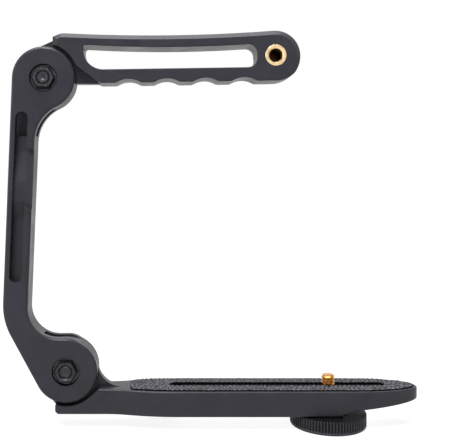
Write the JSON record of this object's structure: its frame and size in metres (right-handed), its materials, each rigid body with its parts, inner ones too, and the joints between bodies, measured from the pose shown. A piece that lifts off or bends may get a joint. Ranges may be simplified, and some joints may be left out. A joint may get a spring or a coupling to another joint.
{
  "type": "camera stabilizer handle",
  "caption": "Folding C-shaped camera handle: grip with finger grooves, hinged arm, and a slotted platform with a rubber pad and a sliding clamp screw.",
  "frame": {"origin": "where the axis of the camera screw meets the top of the rubber pad, with the screw where the picture shows it", "axes": "+Z along the camera screw, out of the platform; +X along the platform, away from the arm; +Y to the back, with the nuts and the threaded insert facing -Y"},
  "size_m": [0.1972, 0.0358, 0.1876],
  "materials": {
    "body_black": "satin",
    "knob_black": "matte",
    "pad_rubber": "matte",
    "black_steel": "satin",
    "brass": "polished",
    "nylon": "satin"
  },
  "bodies": {
    "platform_body": {"platform": "body_black", "slot_plate": "body_black", "platform_pad": "pad_rubber"},
    "arm_body": {"arm": "body_black", "upper_bolt": "black_steel", "upper_nut": "black_steel", "upper_washer": "black_steel", "upper_spring_washer": "black_steel", "upper_front_disc": "nylon", "upper_back_disc": "nylon", "lower_bolt": "black_steel", "lower_nut": "black_steel", "lower_washer": "black_steel", "lower_spring_washer": "black_steel", "lower_front_disc": "nylon", "lower_back_disc": "nylon"},
    "grip_body": {"grip": "body_black", "grip_insert": "brass"},
    "slider_body": {"knob_washer": "nylon"},
    "knob_body": {"camera_screw": "brass", "clamp_knob": "knob_black", "knob_collar": "black_steel"}
  },
  "joints": [
    {"name": "arm_fold", "type": "hinge", "parent": "platform_body", "child": "arm_body", "pos_m": [-0.125, 0, 0.0077], "axis": [0, 1, 0], "range_deg": [0, 50]},
    {"name": "grip_fold", "type": "hinge", "parent": "arm_body", "child": "grip_body", "pos_m": [-0.1356, 0, 0.1461], "axis": [0, 1, 0], "range_deg": [0, 90]},
    {"name": "screw_slide", "type": "slide", "parent": "platform_body", "child": "slider_body", "axis": [1, 0, 0], "range_m": [-0.072, 0.0242]},
    {"name": "knob_spin", "type": "hinge", "parent": "slider_body", "child": "knob_body", "pos_m": [0, 0, 0], "axis": [0, 0, 1], "continuous": true}
  ]
}
